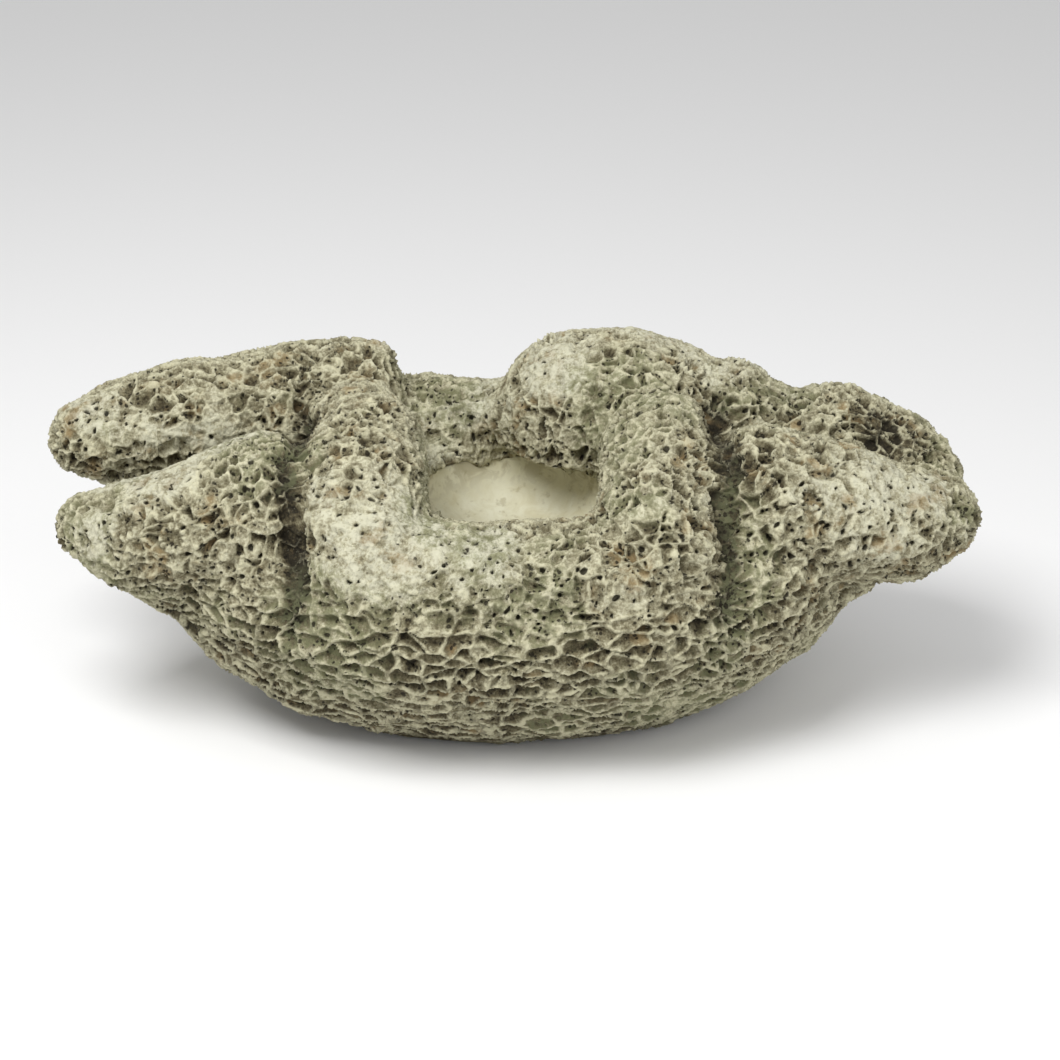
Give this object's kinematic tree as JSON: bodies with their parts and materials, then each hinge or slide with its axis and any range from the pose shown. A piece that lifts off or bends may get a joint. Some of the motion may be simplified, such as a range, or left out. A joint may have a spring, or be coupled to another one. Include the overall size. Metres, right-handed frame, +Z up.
{
  "type": "coral rock basin ornament",
  "caption": "Long coral rock basin ornament for a pond or aquarium: bonded hollow resin lobes round an open smooth bowl, on a base plate with pads.",
  "frame": {"origin": "centre of the bounding box on the ground plane, under the pads", "axes": "+Z up, +X along the length towards the right end as seen from the front, -Y towards the front"},
  "size_m": [0.56, 0.272, 0.208],
  "materials": {
    "coral_resin": "cast resin with a coral skeleton skin, dark wash in the pits and pale dry-brushed ridges",
    "smooth_resin": "smooth cast resin, matte, mottled pale beige grey",
    "base_resin": "plain dark cast resin, matte",
    "pad_rubber": "matte black rubber"
  },
  "bodies": {
    "root": {"left_front_wing": "coral_resin", "left_back_wing": "coral_resin", "left_shoulder": "coral_resin", "left_knuckle": "coral_resin", "front_rim": "coral_resin", "right_knuckle": "coral_resin", "right_front_wing": "coral_resin", "right_back_wing": "coral_resin", "right_shoulder": "coral_resin", "back_dome": "coral_resin", "back_rim": "coral_resin", "hull": "coral_resin", "basin_liner": "smooth_resin", "base_plate": "base_resin", "pad_front_left": "pad_rubber", "pad_front_right": "pad_rubber", "pad_back_left": "pad_rubber", "pad_back_right": "pad_rubber"}
  },
  "joints": []
}
